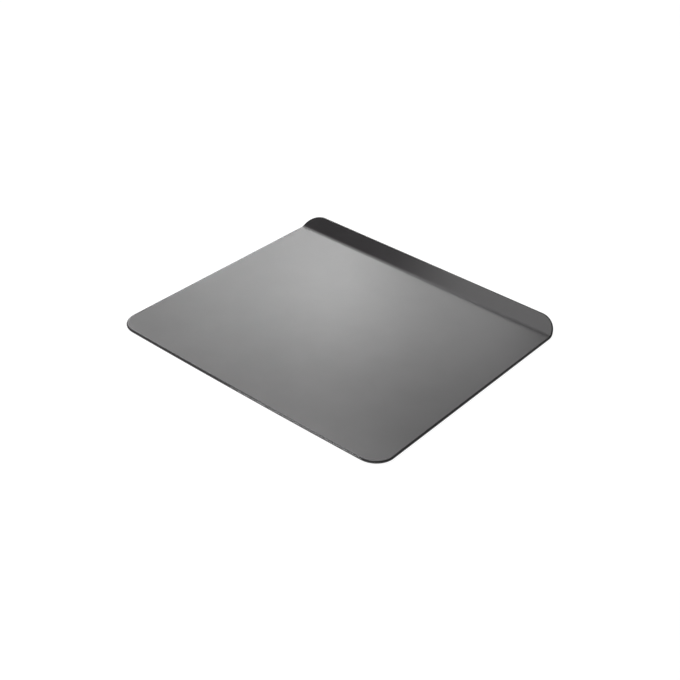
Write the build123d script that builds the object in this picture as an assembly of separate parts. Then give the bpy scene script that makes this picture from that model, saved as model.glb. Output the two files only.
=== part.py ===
from build123d import *
import math
import os

# Cookie sheet, insulated: two thin sheets with a closed layer of air between them.
# One long edge is turned up as a flange to grip it by, the other three are flat and open.
# Frame: X along the flange, +Y from the open edge to the flange, +Z up.
# The origin is under the middle of the whole sheet, on the plane that it rests on.

# Driving dimensions of the whole sheet, in millimetres and degrees
sheet_length = 406.4
sheet_depth = 362.5
sheet_height = 18.7
rim_thickness = 3.7
corner_radius = 26.0
open_edge_bow = 1.7
flange_angle = 41.5
bend_inside_radius = 10.0

# The two sheets and the hem that holds them together
top_gauge = 0.8
bottom_gauge = 0.5
hem_width = 7.0
hem_clearance = 0.04

# The spacer dimples that are pressed up from the bottom sheet
dimple_base_diameter = 16.0
dimple_top_diameter = 8.0
dimple_sides = 12
dimple_pitch = 66.0
dimple_margin = 32.0

# How nearly the rim's face comes to a full half round
round_share = 0.98

# Room for a cutting shape to pass through what it cuts
overrun = 10.0

# How far a face's normal may stray and still count as square
square_share = 0.001

# Worked out from the driving dimensions
half_rim = rim_thickness / 2
middle_bend_radius = bend_inside_radius + half_rim
tilt = math.radians(flange_angle)
front_y = -sheet_depth / 2
tip_y = sheet_depth / 2 - half_rim
tip_z = sheet_height - half_rim
bend_rise = middle_bend_radius * (1 - math.cos(tilt))
slant_length = (tip_z - half_rim - bend_rise) / math.sin(tilt)
bend_y = tip_y - slant_length * math.cos(tilt) - middle_bend_radius * math.sin(tilt)
bow_radius = (sheet_length**2 / 4 + open_edge_bow**2) / (2 * open_edge_bow)
hollow_inset = top_gauge
tray_inset = top_gauge + hem_clearance
core_inset = tray_inset + bottom_gauge


def profile_line(level, tip_inset):
    """One line of the side profile: floor, bend and slanted flange, at a level off the middle."""
    radius = middle_bend_radius - level
    centre_z = half_rim + middle_bend_radius
    front = (front_y - overrun, half_rim + level)
    start = (bend_y, half_rim + level)
    middle = (bend_y + radius * math.sin(tilt / 2), centre_z - radius * math.cos(tilt / 2))
    end = (bend_y + radius * math.sin(tilt), centre_z - radius * math.cos(tilt))
    reach = slant_length + half_rim - tip_inset
    tip = (end[0] + reach * math.cos(tilt), end[1] + reach * math.sin(tilt))
    return Line(front, start) + ThreePointArc(start, middle, end) + Line(end, tip)


def bow_y(x, inset):
    """Where the bowed open edge runs, moved inwards by the inset."""
    radius = bow_radius - inset
    return front_y + bow_radius - math.sqrt(radius**2 - x**2)


def plan_outline(inset):
    """The blank seen from above: a bowed open edge, two rounded corners, straight sides."""
    side = sheet_length / 2 - inset
    back = sheet_depth / 2 + overrun
    corner = bow_y(side, inset)
    bow = ThreePointArc((-side, corner), (0, front_y + inset), (side, corner))
    sides = Polyline((side, corner), (side, back), (-side, back), (-side, corner))
    face = make_face(bow + sides)
    front_corners = face.vertices().sort_by(Axis.Y)[:2]
    return fillet(front_corners, corner_radius - inset)


def flange_outline(inset):
    """The blank seen square to the flange: straight sides and the two rounded upper corners."""
    side = sheet_length / 2 - inset
    tip = half_rim - inset
    reach = sheet_depth + overrun
    face = make_face(Polyline((-side, -reach), (side, -reach), (side, tip), (-side, tip), close=True))
    upper_corners = face.vertices().sort_by(Axis.Y)[-2:]
    return fillet(upper_corners, corner_radius - inset)


def slab(low, high, inset):
    """The folded sheet between two levels off its middle, with its outline moved inwards."""
    lower = profile_line(low, inset)
    upper = profile_line(high, inset)
    ends = Line(lower @ 0, upper @ 0) + Line(lower @ 1, upper @ 1)
    band = Plane.YZ * make_face(lower + upper + ends)
    folded = extrude(band, sheet_length / 2, both=True)
    plan = extrude(plan_outline(inset), sheet_height + overrun, both=True)
    flange_plane = Plane(
        origin=(0, tip_y, tip_z),
        x_dir=(1, 0, 0),
        z_dir=(0, -math.sin(tilt), math.cos(tilt)),
    )
    square_on = extrude(flange_plane * flange_outline(inset), sheet_depth, both=True)
    return folded & plan & square_on


def is_sheet_face(face):
    """True for the broad faces, false for the narrow ones along the rim."""
    normal = face.normal_at(face.center())
    lies_across = abs(normal.X) < square_share and abs(normal.Z) > square_share
    return lies_across and normal.Y * normal.Z < square_share


def rim_edges(solid):
    """The edges between the broad faces and the rim, without the lines of the bend."""
    edges = [edge for face in solid.faces() if is_sheet_face(face) for edge in face.edges()]
    return [edge for edge in edges if sum(edge.is_same(other) for other in edges) == 1]


def rounded_slab(half_thickness, inset):
    """A folded slab about the middle of the sheet whose rim is a half round."""
    solid = slab(-half_thickness, half_thickness, inset)
    return fillet(rim_edges(solid), half_thickness * round_share)


def make_top_sheet():
    """Cooking face and flange, rolled round the rim and hemmed flat under the sheet."""
    outside = rounded_slab(half_rim, 0)
    hollow = rounded_slab(half_rim - top_gauge, hollow_inset)
    window = slab(-half_rim - overrun, 0, hem_width)
    return outside - hollow - window


def dimple_places():
    """A centred grid of places on the flat floor, a margin in from the rim and the bend."""
    span_x = sheet_length - 2 * dimple_margin
    span_y = bend_y - front_y - 2 * dimple_margin
    columns = int(span_x // dimple_pitch) + 1
    rows = int(span_y // dimple_pitch) + 1
    middle_y = (bend_y + front_y) / 2
    for row in range(rows):
        for column in range(columns):
            x = (column - (columns - 1) / 2) * span_x / (columns - 1)
            y = middle_y + (row - (rows - 1) / 2) * span_y / (rows - 1)
            yield x, y


def make_dimple(height):
    """One pressed spacer, a low flat-topped stud with flared flats."""
    slope = (dimple_base_diameter - dimple_top_diameter) / 2
    flare = math.degrees(math.atan(slope / height))
    outline = RegularPolygon(dimple_base_diameter / 2, dimple_sides)
    return extrude(outline, height, taper=flare)


def make_bottom_sheet():
    """A shallow tray that lies in the hem, with spacer dimples up to the top sheet."""
    tray_half = half_rim - tray_inset
    tray = rounded_slab(tray_half, tray_inset)
    core = rounded_slab(tray_half - bottom_gauge, core_inset)
    upper_half = slab(0, rim_thickness, 0)
    floor_z = half_rim - tray_half
    dimple = make_dimple(2 * tray_half - bottom_gauge)
    places = list(dimple_places())
    raised = [Pos(x, y, floor_z + bottom_gauge) * dimple for x, y in places]
    hollows = [Pos(x, y, floor_z) * dimple for x, y in places]
    return tray - upper_half - core + raised - hollows


os.makedirs("parts", exist_ok=True)
export_step(make_top_sheet(), "parts/top_sheet.step")
export_step(make_bottom_sheet(), "parts/bottom_sheet.step")
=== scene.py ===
# %% [markdown]
# # An insulated cookie sheet
# The rim in the photograph is too thick for one sheet and too round for a plate. So the sheet is built as
# such bakeware is made: two thin sheets of aluminium with a closed layer of air between them. The upper one
# carries the dough. One long edge is turned up as a flange to hold it by, and the margin is rolled round
# the edge and hemmed under the lower one, which has a grid of pressed dimples that keep the air gap. The
# photograph does not show the underside or the kind of metal, and both follow what is usual.
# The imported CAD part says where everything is, so the script starts with it and never moves it.

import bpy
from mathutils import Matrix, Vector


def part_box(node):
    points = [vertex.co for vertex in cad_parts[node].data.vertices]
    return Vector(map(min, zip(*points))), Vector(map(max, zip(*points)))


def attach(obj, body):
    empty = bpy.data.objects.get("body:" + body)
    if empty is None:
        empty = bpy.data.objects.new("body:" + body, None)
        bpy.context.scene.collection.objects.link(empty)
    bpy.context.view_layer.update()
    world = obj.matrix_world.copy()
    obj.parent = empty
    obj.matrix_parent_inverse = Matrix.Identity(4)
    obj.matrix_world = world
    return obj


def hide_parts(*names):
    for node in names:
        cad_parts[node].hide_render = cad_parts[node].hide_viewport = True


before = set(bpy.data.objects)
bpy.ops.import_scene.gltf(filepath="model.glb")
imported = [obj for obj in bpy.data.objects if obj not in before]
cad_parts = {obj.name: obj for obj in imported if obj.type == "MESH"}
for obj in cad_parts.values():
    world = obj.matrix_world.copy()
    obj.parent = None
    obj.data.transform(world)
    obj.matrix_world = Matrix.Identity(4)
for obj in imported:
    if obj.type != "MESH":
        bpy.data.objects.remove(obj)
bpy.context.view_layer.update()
cad_low, cad_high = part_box("top_sheet")
MM = 0.001
print("CAD nodes:", sorted(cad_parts))
print("length, depth and height of top_sheet in mm:", [round(side / MM, 1) for side in cad_high - cad_low])

# %% [markdown]
# ## The camera
# The view was found by fitting the outline of the sheet to the photograph: from the right of the open
# edge, about a third of the way up from the horizon, and with a slight roll. It could be set by eye with
# an Empty as its target, but then each change of one angle spoils another. Here it is a chain of plain
# turns about the point it looks at, so every number has one meaning.

# %% Camera
import math
import bpy
from mathutils import Matrix, Vector

FOCAL_LENGTH = 64.87
SENSOR_WIDTH = 36.0
NEAREST_SEEN = 0.05
FARTHEST_SEEN = 50.0
CAMERA_AIM = Vector((15.360, -18.262, 0.0)) * MM
CAMERA_DISTANCE = 1487.83 * MM
VIEW_AZIMUTH = math.radians(38.181)
VIEW_ELEVATION = math.radians(33.785)
CAMERA_ROLL = math.radians(2.934)

scene = bpy.context.scene
camera_data = bpy.data.cameras.new("camera")
camera_data.lens = FOCAL_LENGTH
camera_data.sensor_width = SENSOR_WIDTH
camera_data.clip_start = NEAREST_SEEN
camera_data.clip_end = FARTHEST_SEEN
camera = bpy.data.objects.new("camera", camera_data)
scene.collection.objects.link(camera)
scene.camera = camera

turn = Matrix.Rotation(VIEW_AZIMUTH, 4, "Z")
tilt_down = Matrix.Rotation(math.pi / 2 - VIEW_ELEVATION, 4, "X")
away = Matrix.Translation((0.0, 0.0, CAMERA_DISTANCE))
roll = Matrix.Rotation(CAMERA_ROLL, 4, "Z")
camera.matrix_world = Matrix.Translation(CAMERA_AIM) @ turn @ tilt_down @ away @ roll
print("camera stands at", [round(value, 3) for value in camera.matrix_world.translation])

# %% [markdown]
# ## A short way to write node trees
# A node tree is a formula drawn as boxes and wires. Built by script it can get long, so two helpers are
# worth their lines: `node` adds a box and fills its inputs, and a `Wire` lets an output be used with the
# usual signs, where each sign adds one Math node. The trees stay ordinary trees that can be opened and
# read in the Geometry Nodes editor.

# %% Helper: a wire for formulas
class Wire:
    """The output of a node, for use in formulas."""

    def __init__(self, made, key=0):
        self.socket = made.outputs[key]
        self.tree = made.id_data

    def math(self, operation, *others):
        return Wire(node(self.tree, "ShaderNodeMath", (self, *others), operation=operation))

    def vector(self, operation, *others, key=0):
        return Wire(node(self.tree, "ShaderNodeVectorMath", (self, *others), operation=operation), key)

    def limit(self, low, high):
        return Wire(node(self.tree, "ShaderNodeClamp", (self, low, high)))

    def __add__(self, other):
        return self.math("ADD", other)

    def __sub__(self, other):
        return self.math("SUBTRACT", other)

    def __mul__(self, other):
        return self.math("MULTIPLY", other)

    def __truediv__(self, other):
        return self.math("DIVIDE", other)

    def __rsub__(self, other):
        return Wire(node(self.tree, "ShaderNodeMath", (other, self), operation="SUBTRACT"))


# %% Helpers: add a node and fill its inputs
NODES_IN_A_ROW = 16
NODE_WIDTH = 180.0
NODE_HEIGHT = 260.0


def plug(socket, value):
    """Links a wire to an input, or writes a plain value into it. None leaves it as it is."""
    if isinstance(value, Wire):
        value.tree.links.new(value.socket, socket)
    elif value is not None:
        socket.default_value = value


def node(tree, kind, inputs=(), **settings):
    """Adds a node with its settings. Its inputs come in order, or by name from a dictionary."""
    made = tree.nodes.new(kind)
    row, column = divmod(len(tree.nodes), NODES_IN_A_ROW)
    made.location = (NODE_WIDTH * column, -NODE_HEIGHT * row)
    for name, value in settings.items():
        setattr(made, name, value)
    for key, value in inputs.items() if isinstance(inputs, dict) else enumerate(inputs):
        plug(made.inputs[key], value)
    return made


def combine(tree, x, y, z):
    return Wire(node(tree, "ShaderNodeCombineXYZ", (x, y, z)))


def split(wire):
    made = node(wire.tree, "ShaderNodeSeparateXYZ", (wire,))
    return Wire(made, 0), Wire(made, 1), Wire(made, 2)


# %% Helpers: begin and end a geometry tree
def new_tree(name, sockets):
    """A geometry tree with named inputs and one Sheet output. Returns it with its inputs as wires."""
    tree = bpy.data.node_groups.new(name, "GeometryNodeTree")
    for label, kind in sockets.items():
        tree.interface.new_socket(label, in_out="INPUT", socket_type="NodeSocket" + kind)
    tree.interface.new_socket("Sheet", in_out="OUTPUT", socket_type="NodeSocketGeometry")
    start = node(tree, "NodeGroupInput")
    return tree, {label: Wire(start, label) for label in sockets}


def close_tree(tree, sheet):
    """Gives the sheet to the tree's output and says how large the tree is."""
    node(tree, "NodeGroupOutput", (sheet,))
    print(f"tree {tree.name!r}: {len(tree.nodes)} nodes, {len(tree.links)} links")


def place_points(sheet, position):
    """Set Position on a sheet."""
    values = {"Geometry": sheet, "Position": position}
    return Wire(node(sheet.tree, "GeometryNodeSetPosition", values))


# %% [markdown]
# ## The blank
# Every pressed sheet starts as a flat blank, cut with round corners. Here it is a grid, laid out flat as
# if the flange were not folded yet, so that the fold can bend it later as the brake press does. A Grid
# has square corners and even lines. Two rules mend that. A line's number becomes a place along the side
# by `spread`, which crowds the lines where a dimple's slope will be, and a square corner becomes a quarter
# of a disc: a point keeps its direction from the corner's centre, and its longer side becomes its radius.
# The lines then run round the corner, and no face is cut. Columns and rows of dimples are counted from the
# middle, so with an even number of them the middle lies between two: that is the phase.

# %% Sizes of the blank
LENGTH = cad_high.x - cad_low.x
FRONT = cad_low.y
RIM_THICKNESS = 3.7 * MM
HALF_RIM = RIM_THICKNESS / 2
CORNER_RADIUS = 26.0 * MM
OPEN_EDGE_BOW = 1.7 * MM
FLANGE_ANGLE = math.radians(41.5)
INSIDE_RADIUS = 10.0 * MM
BEND_RADIUS = INSIDE_RADIUS + HALF_RIM

flange_tip = Vector((0.0, cad_high.y - HALF_RIM, cad_high.z - HALF_RIM))
bend_rise = BEND_RADIUS * (1 - math.cos(FLANGE_ANGLE))
flange_length = (flange_tip.z - HALF_RIM - bend_rise) / math.sin(FLANGE_ANGLE)
bend_run = BEND_RADIUS * math.sin(FLANGE_ANGLE)
BEND_LINE = flange_tip.y - flange_length * math.cos(FLANGE_ANGLE) - bend_run
BEND_LENGTH = BEND_RADIUS * FLANGE_ANGLE
BLANK_TIP = BEND_LINE + BEND_LENGTH + flange_length + HALF_RIM
print(f"bend starts at {BEND_LINE / MM:.2f} mm, and the blank ends at {BLANK_TIP / MM:.2f} mm")

COLUMNS = 6
ROWS = 5
DIMPLE_MARGIN = 32.0 * MM
LAST_COLUMN = (COLUMNS - 1) / 2
LAST_ROW = (ROWS - 1) / 2
PHASE_X = LAST_COLUMN % 1
PHASE_Y = LAST_ROW % 1
PITCH_X = (LENGTH - 2 * DIMPLE_MARGIN) / (COLUMNS - 1)
PITCH_Y = (BEND_LINE - FRONT - 2 * DIMPLE_MARGIN) / (ROWS - 1)
MIDDLE_Y = (BEND_LINE + FRONT) / 2
print(f"dimples every {PITCH_X / MM:.2f} mm along the flange and {PITCH_Y / MM:.2f} mm across")

# %% Lines of the grid
TOP_LINES = 2
SLOPE_LINES = 8
HALF_LINES = 12
PITCH_LINES = 2 * HALF_LINES
TOP_REACH = 3.4 * MM
SLOPE_REACH = 8.6 * MM
EDGE_LINES = 10
BACK_LINES = 8
BEND_LINES = 12
FLANGE_LINES = 8
NOT_ZERO = 1e-7


def spread(line, phase, pitch):
    """The place of a grid line, from its number counted from the middle of the floor."""
    cell = (line / PITCH_LINES - phase).math("ROUND") + phase
    rest = line - cell * PITCH_LINES
    top = rest.limit(-TOP_LINES, TOP_LINES)
    slope = rest.limit(-SLOPE_LINES, SLOPE_LINES) - top
    flat = rest - top - slope
    top_step = TOP_REACH / TOP_LINES
    slope_step = (SLOPE_REACH - TOP_REACH) / (SLOPE_LINES - TOP_LINES)
    flat_step = (pitch / 2 - SLOPE_REACH) / (HALF_LINES - SLOPE_LINES)
    return cell * pitch + top * top_step + slope * slope_step + flat * flat_step


def distances(away_x, away_y):
    """How far a point is from a centre, as a square counts it (the longer side) and as a circle does."""
    longer = away_x.math("ABSOLUTE").math("MAXIMUM", away_y.math("ABSOLUTE"))
    direct = (away_x * away_x + away_y * away_y).math("SQRT").math("MAXIMUM", NOT_ZERO)
    return longer, direct


print(f"{PITCH_LINES} lines from one dimple to the next, {2 * SLOPE_LINES} of them on the dimple")


# %% Tree: cut the blank
def build_blank_tree():
    labels = ["Length", "Front", "Tip", "Corner radius", "Bow", "Bend line", "Bend length"]
    labels += ["Inset", "Level", "Pitch X", "Pitch Y", "Middle Y"]
    tree, size = new_tree("Cut blank", {label: "Float" for label in labels})
    half = size["Length"] / 2
    core_x = HALF_LINES * (COLUMNS - 1) + SLOPE_LINES
    core_y = HALF_LINES * (ROWS - 1) + SLOPE_LINES
    count_x = 2 * (core_x + EDGE_LINES)
    count_y = 2 * core_y + EDGE_LINES + BACK_LINES + BEND_LINES + FLANGE_LINES
    # The grid is as large as its number of cells, so a point's place is the number of its line.
    grid = Wire(node(tree, "GeometryNodeMeshGrid", (count_x, count_y, count_x + 1, count_y + 1)))
    line_x, line_y, _ = split(Wire(node(tree, "GeometryNodeInputPosition")))
    line_y = line_y + (count_y / 2 - core_y - EDGE_LINES)

    near_x = line_x.limit(-core_x, core_x)
    reach_x = size["Pitch X"] * LAST_COLUMN + SLOPE_REACH
    edge_x = (half - size["Inset"] - reach_x) / EDGE_LINES
    x = spread(near_x, PHASE_X, size["Pitch X"]) + (line_x - near_x) * edge_x

    near_y = line_y.limit(-core_y, core_y)
    reach_y = size["Pitch Y"] * LAST_ROW + SLOPE_REACH
    front_row = size["Front"] + size["Bow"] + size["Inset"]
    bend_end = size["Bend line"] + size["Bend length"]
    edge_y = (size["Middle Y"] - reach_y - front_row) / EDGE_LINES
    back_y = (size["Bend line"] - size["Middle Y"] - reach_y) / BACK_LINES
    bend_y = size["Bend length"] / BEND_LINES
    flange_y = (size["Tip"] - size["Inset"] - bend_end) / FLANGE_LINES
    y = size["Middle Y"] + spread(near_y, PHASE_Y, size["Pitch Y"])
    y = y + (line_y + core_y).math("MINIMUM", 0.0) * edge_y
    y = y + (line_y - core_y).limit(0.0, BACK_LINES) * back_y
    y = y + (line_y - (core_y + BACK_LINES)).limit(0.0, BEND_LINES) * bend_y
    y = y + (line_y - (core_y + BACK_LINES + BEND_LINES)).limit(0.0, FLANGE_LINES) * flange_y

    corner_x = half - size["Corner radius"]
    front_y = size["Front"] + size["Bow"] + size["Corner radius"]
    centre_x = x.limit(0.0 - corner_x, corner_x)
    centre_y = y.limit(front_y, size["Tip"] - size["Corner radius"])
    away_x = x - centre_x
    away_y = y - centre_y
    longer, direct = distances(away_x, away_y)
    share = centre_x / half
    bow = size["Bow"] * (1 - share * share) * (y / front_y).limit(0.0, 1.0)
    round_x = centre_x + away_x * longer / direct
    round_y = centre_y + away_y * longer / direct - bow

    outward = combine(tree, away_x / direct, away_y / direct, 0.0)
    named = {"Geometry": grid, "Name": "outward", "Value": outward}
    blank = Wire(node(tree, "GeometryNodeStoreNamedAttribute", named, data_type="FLOAT_VECTOR"))
    close_tree(tree, place_points(blank, combine(tree, round_x, round_y, size["Level"])))
    return tree


blank_tree = build_blank_tree()

# %% [markdown]
# ## The dimples
# The lower sheet is stamped with flat-topped round dimples. They could be thirty cones joined with a
# Boolean, but a press does not add metal, it moves it, and so does Set Position. Near a dimple the square
# rings of grid lines are first drawn into circles, with the same rule as the corners, and then the rings
# on the slope are raised with a smooth step, so every dimple has a clean round foot and shoulder.

# %% Tree: press the dimples
RING_END = 9.0 * MM
SQUARE_AGAIN = 14.5 * MM


def map_range(wire, low, high, to_low, to_high, shape="LINEAR"):
    """Turns one range into another, and holds what lies outside of it at its ends."""
    values = (wire, low, high, to_low, to_high)
    return Wire(node(wire.tree, "ShaderNodeMapRange", values, interpolation_type=shape))


def build_dimple_tree():
    sockets = {"Sheet": "Geometry", "Pitch X": "Float", "Pitch Y": "Float", "Middle Y": "Float"}
    sockets |= {"Foot radius": "Float", "Top radius": "Float", "Height": "Float"}
    tree, size = new_tree("Press dimples", sockets)
    x, y, z = split(Wire(node(tree, "GeometryNodeInputPosition")))
    column = (x / size["Pitch X"] - PHASE_X).math("ROUND") + PHASE_X
    row = ((y - size["Middle Y"]) / size["Pitch Y"] - PHASE_Y).math("ROUND") + PHASE_Y
    centre_x = column.limit(-LAST_COLUMN, LAST_COLUMN) * size["Pitch X"]
    centre_y = row.limit(-LAST_ROW, LAST_ROW) * size["Pitch Y"] + size["Middle Y"]
    away_x = x - centre_x
    away_y = y - centre_y
    longer, direct = distances(away_x, away_y)
    squareness = map_range(longer, RING_END, SQUARE_AGAIN, 0.0, 1.0)
    ring = longer / direct
    share = ring + (1 - ring) * squareness
    lift = map_range(direct * share, size["Top radius"], size["Foot radius"], 1.0, 0.0, "SMOOTHSTEP")
    raised = z + lift * size["Height"]
    pressed = combine(tree, centre_x + away_x * share, centre_y + away_y * share, raised)
    close_tree(tree, place_points(size["Sheet"], pressed))
    return tree


dimple_tree = build_dimple_tree()

# %% [markdown]
# ## The rolled rim
# The rim is what makes this sheet look solid: the upper sheet's margin goes round a half circle and comes
# back flat underneath, and the lower sheet's margin curls up inside it. A bevel cannot roll a sheet back
# under itself. Extrude Mesh can: it takes the open edges of the blank and grows one narrow strip after the
# other, each turned a little further, in a Repeat Zone. Every point knows its way out of the sheet from
# the blank's attribute, so the corners roll as cleanly as the straight sides. The first strip is flat and
# narrow: it supports the roll, so that the shading of the flat face stays flat. A second attribute marks
# the strips as rim, for the finish: a glossier roll, darkened there as painted shade.

# %% Helpers: grow a strip, and do it again
def grow(sheet, edges, offset):
    """Extrudes the chosen edges and moves the new ones. Returns the sheet and the new edges."""
    values = {"Mesh": sheet, "Selection": edges, "Offset Scale": 0.0}
    made = node(sheet.tree, "GeometryNodeExtrudeMesh", values, mode="EDGES")
    moved = node(sheet.tree, "GeometryNodeSetPosition", (Wire(made), Wire(made, "Top"), None, offset))
    named = {"Geometry": Wire(moved), "Selection": Wire(made, "Top"), "Name": "rim", "Value": 1.0}
    return Wire(node(sheet.tree, "GeometryNodeStoreNamedAttribute", named)), Wire(made, "Top")


def repeat_zone(tree, count, sheet, edges):
    """A Repeat Zone that carries the sheet and its open edges. Returns its two ends."""
    inside = node(tree, "GeometryNodeRepeatInput")
    outside = node(tree, "GeometryNodeRepeatOutput")
    inside.pair_with_output(outside)
    outside.repeat_items.new("BOOLEAN", "Edges")
    for socket, value in zip(inside.inputs, (count, sheet, edges)):
        plug(socket, value)
    return inside, outside


# %% Tree: roll the rim
ROLL_STEPS = 16


def build_roll_tree():
    sockets = {"Sheet": "Geometry", "Support": "Float", "Radius": "Float", "Start": "Float"}
    sockets |= {"Sweep": "Float", "Lip": "Float", "Lip steps": "Int"}
    tree, size = new_tree("Roll rim", sockets)
    stored = node(tree, "GeometryNodeInputNamedAttribute", ("outward",), data_type="FLOAT_VECTOR")
    outward = Wire(stored)
    # An edge that has one face only is an open edge.
    faces = Wire(node(tree, "GeometryNodeInputMeshEdgeNeighbors"))
    one_face = node(tree, "FunctionNodeCompare", (None, None, faces, 1), data_type="INT", operation="EQUAL")
    support = outward.vector("SCALE", None, None, size["Support"])
    sheet, edges = grow(size["Sheet"], Wire(one_face), support)

    inside, outside = repeat_zone(tree, ROLL_STEPS, sheet, edges)
    before = size["Start"] + size["Sweep"] * Wire(inside, "Iteration") / ROLL_STEPS
    after = before + size["Sweep"] / ROLL_STEPS
    out = (after.math("SINE") - before.math("SINE")) * size["Radius"]
    up = (after.math("COSINE") - before.math("COSINE")) * size["Radius"]
    offset = outward.vector("SCALE", None, None, out).vector("ADD", combine(tree, 0.0, 0.0, up))
    sheet, edges = grow(Wire(inside, "Geometry"), Wire(inside, "Edges"), offset)
    plug(outside.inputs["Geometry"], sheet)
    plug(outside.inputs["Edges"], edges)

    rolled = Wire(outside, "Geometry"), Wire(outside, "Edges")
    lip_in, lip_out = repeat_zone(tree, size["Lip steps"], *rolled)
    inward = outward.vector("SCALE", None, None, 0.0 - size["Lip"] / size["Lip steps"])
    sheet, edges = grow(Wire(lip_in, "Geometry"), Wire(lip_in, "Edges"), inward)
    plug(lip_out.inputs["Geometry"], sheet)
    plug(lip_out.inputs["Edges"], edges)
    close_tree(tree, Wire(lip_out, "Geometry"))
    return tree


roll_tree = build_roll_tree()

# %% [markdown]
# ## The folded flange
# The last stroke of the press turns one long margin up. A Simple Deform modifier could do it, but it needs
# an Empty for its axis, and its limits are shares of the whole depth. This rule is written in the sheet's
# own sizes: up to the bend line nothing moves, then a point goes round an arc whose radius depends on its
# height in the sheet, and what is past the arc goes on straight. So the half round of the rim stays a half
# round on the flange.

# %% Tree: fold the flange
def build_fold_tree():
    sockets = {"Sheet": "Geometry", "Bend line": "Float", "Radius": "Float", "Angle": "Float"}
    sockets |= {"Middle level": "Float"}
    tree, size = new_tree("Fold flange", sockets)
    x, y, z = split(Wire(node(tree, "GeometryNodeInputPosition")))
    past = (y - size["Bend line"]).math("MAXIMUM", 0.0)
    angle = (past / size["Radius"]).math("MINIMUM", size["Angle"])
    straight = (past - size["Radius"] * size["Angle"]).math("MAXIMUM", 0.0)
    own_radius = size["Radius"] - (z - size["Middle level"])
    sine = angle.math("SINE")
    cosine = angle.math("COSINE")
    folded_y = y.math("MINIMUM", size["Bend line"]) + own_radius * sine + straight * cosine
    folded_z = size["Middle level"] + size["Radius"] - own_radius * cosine + straight * sine
    close_tree(tree, place_points(size["Sheet"], combine(tree, x, folded_y, folded_z)))
    return tree


fold_tree = build_fold_tree()

# %% [markdown]
# ## Two sheets from one recipe
# Both sheets go through the same strokes with other numbers, so one tree holds them all: cut, press,
# roll, fold. The tree makes only the outer skin. The Solidify modifier gives it the gauge of the metal,
# inwards from the skin, and closes the cut edge of the hem. A sheet drawn as a closed solid from the
# start would need the same work twice.

# %% Sizes of both sheets
SUPPORT = 0.4 * MM
TOP_GAUGE = 0.8 * MM
BOTTOM_GAUGE = 0.5 * MM
HEM_WIDTH = 7.0 * MM
HEM_CLEARANCE = 0.04 * MM
DIMPLE_FOOT = 8.0 * MM
DIMPLE_TOP = 4.0 * MM

tray_radius = HALF_RIM - TOP_GAUGE - HEM_CLEARANCE
dimple_height = 2 * tray_radius - BOTTOM_GAUGE
shape_sizes = {
    "Length": LENGTH,
    "Front": FRONT,
    "Tip": BLANK_TIP,
    "Corner radius": CORNER_RADIUS,
    "Bow": OPEN_EDGE_BOW,
    "Bend line": BEND_LINE,
    "Bend length": BEND_LENGTH,
    "Inset": HALF_RIM + SUPPORT,
    "Pitch X": PITCH_X,
    "Pitch Y": PITCH_Y,
    "Middle Y": MIDDLE_Y,
    "Support": SUPPORT,
    "Angle": FLANGE_ANGLE,
    "Bend radius": BEND_RADIUS,
    "Middle level": HALF_RIM,
    "Foot radius": DIMPLE_FOOT,
    "Top radius": DIMPLE_TOP,
}
print(f"the tray is rolled to a radius of {tray_radius / MM:.2f} mm")
print(f"its dimples are {dimple_height / MM:.2f} mm high")


# %% Tree: the whole sheet
def use(tree, group, sheet=None, **values):
    """Adds a group node whose inputs come from the tree's inputs of the same names."""
    made = node(tree, "GeometryNodeGroup", node_tree=group)
    for socket in made.inputs:
        plug(socket, sheet if socket.name == "Sheet" else values.get(socket.name))
    return Wire(made)


def build_sheet_tree():
    sockets = {label: "Float" for label in shape_sizes}
    sockets |= {"Level": "Float", "Roll radius": "Float", "Start": "Float", "Sweep": "Float"}
    sockets |= {"Lip": "Float", "Lip steps": "Int", "Height": "Float", "Finish": "Material"}
    sockets |= {"Dimpled": "Bool", "Skin is underneath": "Bool"}
    tree, size = new_tree("Cookie sheet", sockets)
    blank = use(tree, blank_tree, **size)
    dimpled = use(tree, dimple_tree, blank, **size)
    switched = {"Switch": size["Dimpled"], "False": blank, "True": dimpled}
    pressed = Wire(node(tree, "GeometryNodeSwitch", switched, input_type="GEOMETRY"))
    rolled = use(tree, roll_tree, pressed, **{**size, "Radius": size["Roll radius"]})
    folded = use(tree, fold_tree, rolled, **{**size, "Radius": size["Bend radius"]})
    turned = Wire(node(tree, "GeometryNodeFlipFaces", (folded, size["Skin is underneath"])))
    smooth = Wire(node(tree, "GeometryNodeSetShadeSmooth", (turned,)))
    real = Wire(node(tree, "GeometryNodeRealizeInstances", (smooth,)))
    finished = {"Geometry": real, "Material": size["Finish"]}
    close_tree(tree, Wire(node(tree, "GeometryNodeSetMaterial", finished)))
    return tree


sheet_tree = build_sheet_tree()

# %% [markdown]
# ## Noises for the finishes
# Both finishes are built from Noise Textures on the object's own coordinates, so a pattern has its real
# size and stays where it is on the sheet. A node's Scale counts the features in a metre, which is hard to
# picture, so `noise` takes the width of one feature in millimetres, and `vary` spreads the grey of a noise
# between two values. A picture would need its own size, seam and file.

# %% Helpers for materials
NOISE_RANGE = (0.3, 0.7)
FLECK_RANGE = (0.62, 0.74)
COLOUR_INPUTS = (6, 7)
COLOUR_OUTPUT = 2


def noise(tree, place, size, detail=2.0):
    """A Noise Texture whose features are this many millimetres wide."""
    values = {"Vector": place, "Scale": 1 / (size * MM), "Detail": detail}
    return Wire(node(tree, "ShaderNodeTexNoise", values))


def vary(wire, low, high):
    """Lets a noise go from low to high. Nearly all of its values lie in NOISE_RANGE."""
    return map_range(wire, *NOISE_RANGE, low, high)


def blend_colours(share, first, second):
    """A Mix node has inputs of several kinds, and the ones for colours are known by number."""
    made = node(share.tree, "ShaderNodeMix", {"Factor": share}, data_type="RGBA")
    for number, colour in zip(COLOUR_INPUTS, (first, second)):
        plug(made.inputs[number], colour)
    return Wire(made, COLOUR_OUTPUT)


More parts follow.
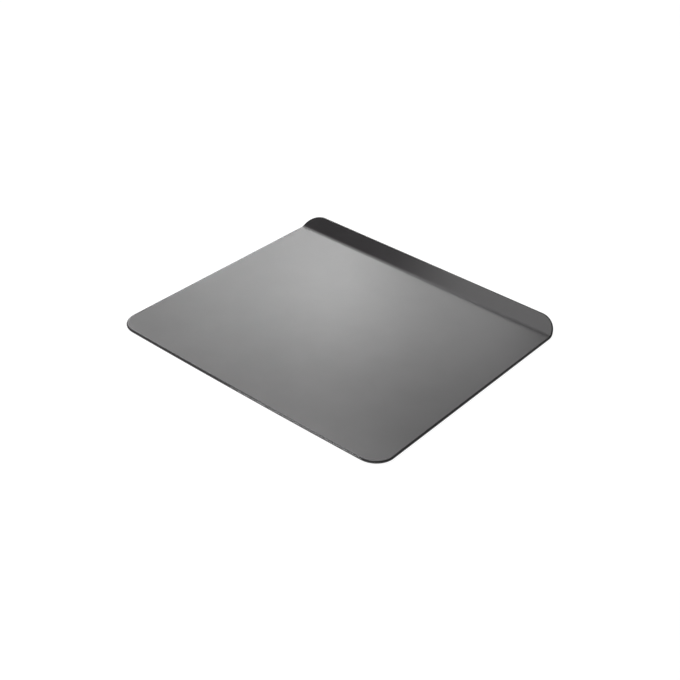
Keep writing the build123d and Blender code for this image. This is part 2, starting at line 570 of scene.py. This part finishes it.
def new_material(name):
    """A material with an empty tree, and the object's own coordinates in it."""
    made = bpy.data.materials.new(name)
    made.use_nodes = True
    made.node_tree.nodes.clear()
    return made, made.node_tree, Wire(node(made.node_tree, "ShaderNodeTexCoord"), "Object")


def close_material(material, shader):
    """Gives the shader to the material's output and says how large its tree is."""
    node(material.node_tree, "ShaderNodeOutputMaterial", (shader,))
    print(f"material {material.name!r}: {len(material.node_tree.nodes)} nodes")


# %% [markdown]
# ## The coating
# The upper sheet is sprayed with a dark grey non-stick coating and cured. It is a film of plastic, so it
# mirrors as a dielectric does: weakly from above and strongly at a grazing view, which a metal's shader
# would get wrong. The film has a fine orange peel and pale mineral flecks a fifth of a millimetre wide. On
# the roll it is much glossier, and its colour is darkened there as painted shade; the two draw the thin
# dark outline round the sheet. An image could be painted for all this, but it would blur close up, and a
# few noises at their real size do not.

# %% Coating material
COATING_DARK = (0.0255, 0.0235, 0.0248, 1.0)
COATING_LIGHT = (0.0345, 0.0323, 0.0338, 1.0)
# Painted shade: the roll's colour is darkened towards this to draw its thin dark outline.
RIM_PAINTED_SHADE = (0.008, 0.008, 0.0085, 1.0)
RIM_SHADE_SHARE = 0.7
CLOUD_SHARE = 0.6
FLECK_SHARE = 1 - CLOUD_SHARE
ROUGHNESS = 0.30
CLOUD_ROUGHNESS = 0.003
PEEL_ROUGHNESS = 0.012
RIM_POLISH = 0.16
PEEL_SIZE = 0.9
PEEL_DEPTH = 0.012 * MM
PEEL_STRENGTH = 0.5
FLECK_SIZE = 0.2
FLECK_RAISE = 0.15
CLOUD_SIZE = 45.0
FILM_IOR = 1.55

coating, tree, place = new_material("satin_nonstick")
peel = noise(tree, place, PEEL_SIZE)
flecks = map_range(noise(tree, place, FLECK_SIZE, detail=0.0), *FLECK_RANGE, 0.0, 1.0)
clouds = noise(tree, place, CLOUD_SIZE, detail=3.0)
rim = Wire(node(tree, "ShaderNodeAttribute", attribute_name="rim"), "Fac")
tone = vary(clouds, 0.0, CLOUD_SHARE) + flecks * FLECK_SHARE
flat_colour = blend_colours(tone.limit(0.0, 1.0), COATING_DARK, COATING_LIGHT)
# On the roll the colour is darkened: painted shade for the dark outline of the rim.
colour = blend_colours(rim * RIM_SHADE_SHARE, flat_colour, RIM_PAINTED_SHADE)
cloudy = vary(clouds, ROUGHNESS - CLOUD_ROUGHNESS, ROUGHNESS + CLOUD_ROUGHNESS)
roughness = cloudy + vary(peel, -PEEL_ROUGHNESS, PEEL_ROUGHNESS) - rim * RIM_POLISH
height = peel + flecks * FLECK_RAISE
peel_values = {"Strength": PEEL_STRENGTH, "Distance": PEEL_DEPTH, "Height": height}
peel_bump = Wire(node(tree, "ShaderNodeBump", peel_values), "Normal")
shader_values = {"Base Color": colour, "Roughness": roughness, "Normal": peel_bump, "IOR": FILM_IOR}
close_material(coating, Wire(node(tree, "ShaderNodeBsdfPrincipled", shader_values)))

# %% [markdown]
# ## Bare aluminium
# The lower sheet is rolled aluminium as it comes from the mill. Rolling leaves fine lines in one direction,
# here along the flange, and a satin gloss. A noise gives such lines when it is squeezed: a Mapping node
# makes its cells long along X and narrow across. The same lines feed the gloss, the tone and a shallow
# bump, and broad bands and blotches keep the face from looking even. The shader's Anisotropic value would
# draw out the highlights alone, and show no lines close up.

# %% Aluminium material
ALUMINIUM_DARK = (0.66, 0.665, 0.68, 1.0)
ALUMINIUM_LIGHT = (0.76, 0.765, 0.775, 1.0)
SQUEEZE = (0.01, 1.0, 1.0)
LINE_SIZE = 0.35
LINE_DEPTH = 0.006 * MM
LINE_STRENGTH = 0.4
LINE_ROUGHNESS = 0.03
BAND_SIZE = 6.0
SMOOTH_BAND = 0.34
DULL_BAND = 0.42
BLOTCH_SIZE = 30.0

aluminium, tree, place = new_material("mill_aluminium")
stretched = Wire(node(tree, "ShaderNodeMapping", {"Vector": place, "Scale": SQUEEZE}))
lines = noise(tree, stretched, LINE_SIZE, detail=4.0)
bands = noise(tree, stretched, BAND_SIZE, detail=3.0)
blotches = noise(tree, place, BLOTCH_SIZE, detail=3.0)
tone = vary(lines, 0.0, 0.5) + vary(blotches, 0.0, 0.5)
colour = blend_colours(tone.limit(0.0, 1.0), ALUMINIUM_DARK, ALUMINIUM_LIGHT)
roughness = vary(bands, SMOOTH_BAND, DULL_BAND) + vary(lines, -LINE_ROUGHNESS, LINE_ROUGHNESS)
line_values = {"Strength": LINE_STRENGTH, "Distance": LINE_DEPTH, "Height": lines}
line_bump = Wire(node(tree, "ShaderNodeBump", line_values), "Normal")
shader_values = {"Base Color": colour, "Roughness": roughness, "Normal": line_bump, "Metallic": 1.0}
close_material(aluminium, Wire(node(tree, "ShaderNodeBsdfPrincipled", shader_values)))

# %% [markdown]
# ## From tree to plain mesh
# A modifier's input is set by its socket's identifier before the object is looked at for the first time.
# A sheared edge is never quite sharp, so a small Bevel eases the cut edges of the hem and the tray, and its
# angle limit leaves every gentler edge alone. The evaluated object is copied to a plain mesh, and the
# modifiers go. The check at the end counts the open edges and works out the volume, which has to come out
# as gauge times area, like the CAD solid.

# %% Form the sheets
import bmesh

CUT_ANGLE = math.radians(50.0)
EASED_EDGE = 0.08 * MM
EASE_STEPS = 2


def form_sheet(name, gauge, values):
    """Runs the tree with these values, gives the skin its gauge, and keeps the plain mesh."""
    piece = bpy.data.objects.new(name, bpy.data.meshes.new(name))
    scene.collection.objects.link(piece)
    former = piece.modifiers.new("strokes", "NODES")
    former.node_group = sheet_tree
    for item in sheet_tree.interface.items_tree:
        if item.in_out == "INPUT":
            former[item.identifier] = values[item.name]
    wall = piece.modifiers.new("gauge", "SOLIDIFY")
    wall.thickness = gauge
    wall.offset = -1.0  # all of it inwards from the skin
    wall.use_even_offset = True
    wall.use_quality_normals = True
    eased = piece.modifiers.new("eased cut edge", "BEVEL")
    eased.width = EASED_EDGE
    eased.segments = EASE_STEPS
    eased.limit_method = "ANGLE"
    eased.angle_limit = CUT_ANGLE
    formed = piece.evaluated_get(bpy.context.evaluated_depsgraph_get())
    mesh = bpy.data.meshes.new_from_object(formed)
    piece.modifiers.clear()
    piece.data = mesh
    mesh.name = name
    mesh.attributes.remove(mesh.attributes["outward"])
    return piece


def describe(piece):
    """Prints a piece's triangles, open edges, volume and box."""
    counted = bmesh.new()
    counted.from_mesh(piece.data)
    open_edges = sum(not edge.is_manifold for edge in counted.edges)
    volume = counted.calc_volume(signed=True) / MM**3
    triangles = sum(len(face.verts) - 2 for face in counted.faces)
    counted.free()
    low = [round(min(side) / MM, 2) for side in zip(*piece.bound_box)]
    high = [round(max(side) / MM, 2) for side in zip(*piece.bound_box)]
    print(f"{piece.name}: {triangles} triangles, {open_edges} open edges, {volume:.0f} mm3")
    print(f"{piece.name}: box in mm {low} to {high}")


# %% The two sheets
top_values = {
    **shape_sizes,
    "Level": RIM_THICKNESS,
    "Roll radius": HALF_RIM,
    "Start": 0.0,
    "Sweep": math.pi,
    "Lip": HEM_WIDTH - HALF_RIM,
    "Lip steps": 3,
    "Height": 0.0,
    "Finish": coating,
    "Dimpled": False,
    "Skin is underneath": False,
}
bottom_values = {
    **shape_sizes,
    "Level": HALF_RIM - tray_radius,
    "Roll radius": tray_radius,
    "Start": math.pi,
    "Sweep": -math.pi / 2,
    "Lip": 0.0,
    "Lip steps": 0,
    "Height": dimple_height,
    "Finish": aluminium,
    "Dimpled": True,
    "Skin is underneath": True,
}
top_piece = form_sheet("cooking_sheet", TOP_GAUGE, top_values)
bottom_piece = form_sheet("dimpled_tray", BOTTOM_GAUGE, bottom_values)
describe(top_piece)
describe(bottom_piece)

# %% [markdown]
# ## On the frame
# The hem clamps both sheets together, so nothing moves and both ride on the one body. Each formed sheet
# stands for one CAD solid, which stays in the physics model and is hidden here. The places need no fitting,
# because both models were worked out from the same sizes in the same frame.

# %% Put the pieces on the frame
for piece, cad_node, slot in (
    (top_piece, "top_sheet", "nonstick_coating"),
    (bottom_piece, "bottom_sheet", "bare_aluminium"),
):
    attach(piece, "root")
    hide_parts(cad_node)
    print(f"{piece.name} rides on root, replaces {cad_node} and is finished as {slot}")

# %% [markdown]
# ## The floor
# The photograph has a plain white ground. The floor is a pale one: what the camera and the sheet's gloss
# see of it is near white with a faint shadow left in it, and to the light itself it is plain matt paint.
# Stronger lamps would whiten a plain floor too, but they would bleach the sheet with it. From below the
# floor is see-through, so that the underside of the sheet can be looked at.

# %% Floor
FLOOR_SIZE = 8.0
FLOOR_DROP = 0.05 * MM
FLOOR_GLOW = 0.92
SEEN_PAINT = (0.2, 0.2, 0.2, 1.0)
MATT_PAINT = (0.8, 0.8, 0.8, 1.0)

floor_mesh = bpy.data.meshes.new("floor")
reach = FLOOR_SIZE / 2
floor_corners = [(-reach, -reach), (reach, -reach), (reach, reach), (-reach, reach)]
floor_mesh.from_pydata([(x, y, -FLOOR_DROP) for x, y in floor_corners], [], [(0, 1, 2, 3)])
floor = bpy.data.objects.new("floor", floor_mesh)
scene.collection.objects.link(floor)

floor_material, tree, _ = new_material("floor")
path = node(tree, "ShaderNodeLightPath")
seen = Wire(path, "Is Camera Ray").math("MAXIMUM", Wire(path, "Is Glossy Ray"))
seen = seen.math("MAXIMUM", Wire(path, "Is Transmission Ray"))
below = Wire(node(tree, "ShaderNodeNewGeometry"), "Backfacing")
below = below.math("MAXIMUM", Wire(path, "Transparent Depth")).limit(0.0, 1.0)
glow = Wire(node(tree, "ShaderNodeEmission", {"Strength": FLOOR_GLOW}))
thin_paint = Wire(node(tree, "ShaderNodeBsdfDiffuse", {"Color": SEEN_PAINT}))
seen_floor = Wire(node(tree, "ShaderNodeAddShader", (glow, thin_paint)))
matt_floor = Wire(node(tree, "ShaderNodeBsdfDiffuse", {"Color": MATT_PAINT}))
from_above = Wire(node(tree, "ShaderNodeMixShader", (seen, matt_floor, seen_floor)))
clear = Wire(node(tree, "ShaderNodeBsdfTransparent"))
close_material(floor_material, Wire(node(tree, "ShaderNodeMixShader", (below, from_above, clear))))
floor_mesh.materials.append(floor_material)

# %% [markdown]
# ## The room
# To the camera the room is plain white. The sheet sees another one: a satin coating shows little of its own
# colour and much of what stands opposite, so the room has a pale far wall, which the flat of the sheet
# mirrors towards the camera, a pale wall behind the camera for the views from the back, a dim ceiling, and
# a bright horizon below for the bare underside. An image of a room would do the same, but four soft ramps
# on the direction of the light can be read and changed.

# %% World
TOWARDS_FAR_WALL = (-0.583, 0.694, 0.423)
FAR_WALL_EDGES = (0.35, 0.80)
NEAR_WALL_EDGES = (-0.75, -0.15)
HORIZON = -0.02
DIM = 0.09
FAR_WALL_LIGHT = 0.54
NEAR_WALL_LIGHT = 0.6
GROUND_LIGHTS = (0.2, 0.85)
WHITE = (1.0, 1.0, 1.0, 1.0)

world = bpy.data.worlds.new("studio")
scene.world = world
world.use_nodes = True
tree = world.node_tree
tree.nodes.clear()
direction = Wire(node(tree, "ShaderNodeTexCoord"), "Generated")
nearness = direction.vector("DOT_PRODUCT", TOWARDS_FAR_WALL, key="Value")
_, _, height = split(direction)
far_wall = map_range(nearness, *FAR_WALL_EDGES, DIM, FAR_WALL_LIGHT, "SMOOTHSTEP")
near_wall = map_range(nearness, *NEAR_WALL_EDGES, NEAR_WALL_LIGHT, 0.0, "SMOOTHSTEP")
below_horizon = map_range(height, HORIZON, HORIZON / 2, 1.0, 0.0)
ground = map_range(height, -1.0, 0.0, *GROUND_LIGHTS) * below_horizon
brightness = far_wall + near_wall + ground
room = Wire(node(tree, "ShaderNodeBackground", {"Color": WHITE, "Strength": brightness}))
white = Wire(node(tree, "ShaderNodeBackground", {"Color": WHITE, "Strength": 1.0}))
camera_ray = Wire(node(tree, "ShaderNodeLightPath"), "Is Camera Ray")
surroundings = Wire(node(tree, "ShaderNodeMixShader", (camera_ray, room, white)))
node(tree, "ShaderNodeOutputWorld", (surroundings,))
print("world:", len(tree.nodes), "nodes")

# %% [markdown]
# ## The lamps
# The photograph's sheet has one soft highlight on its flat, a flange that is dark at the left and grey at
# the right, and a thin light line on the roll of the front edge. What is light there mirrors a softbox, and
# the satin finish widens it. The first four boxes were found by fitting: a formula for the gloss was
# compared with the brightness along the sheet, and their places and sizes were changed until the two
# agreed. The strip in front was placed by the law of the mirror for the roll's curve. A sun lamp could not
# do it, because it would light every place alike. The strength is given as the radiance of the box's face,
# where 1 is white paper in plain light, and all boxes together light a flat white thing to about white.

# %% Softboxes
# Azimuth and elevation in degrees, distance in metres, size in metres, radiance
SOFTBOXES = {
    "left_wing_box": (42.7, 29.4, 5.00, (1.17, 0.138), 37.5),
    "right_wing_box": (29.6, 30.0, 1.21, (0.53, 0.183), 3.49),
    "overhead_box": (180.0, 84.4, 0.345, (0.38, 0.38), 2.15),
    "high_left_box": (60.5, 40.3, 5.97, (0.80, 4.50), 6.04),
    "front_strip_box": (163.6, 18.5, 0.71, (0.30, 0.07), 30.0),
}


def hang_softbox(name, azimuth, elevation, distance, size, radiance):
    """A rectangular lamp that faces the sheet. Azimuth 0 is towards +Y, and 90 is towards -X."""
    lamp = bpy.data.lights.new(name, "AREA")
    lamp.shape = "RECTANGLE"
    lamp.size, lamp.size_y = size
    lamp.energy = radiance * math.pi * lamp.size * lamp.size_y
    box = bpy.data.objects.new(name, lamp)
    scene.collection.objects.link(box)
    turn = Matrix.Rotation(math.radians(azimuth), 4, "Z")
    lift = Matrix.Rotation(math.radians(elevation - 90.0), 4, "X")
    box.matrix_world = turn @ lift @ Matrix.Translation((0.0, 0.0, distance))
    box.visible_camera = False
    print(f"{name}: {lamp.energy:.1f} W at", [round(value, 2) for value in box.matrix_world.translation])


for name, settings in SOFTBOXES.items():
    hang_softbox(name, *settings)

# %% [markdown]
# ## Colours and sizes at the end
# The Standard view transform shows a colour as it is written, where a film-like one would grey the white
# ground.

scene.view_settings.view_transform = "Standard"
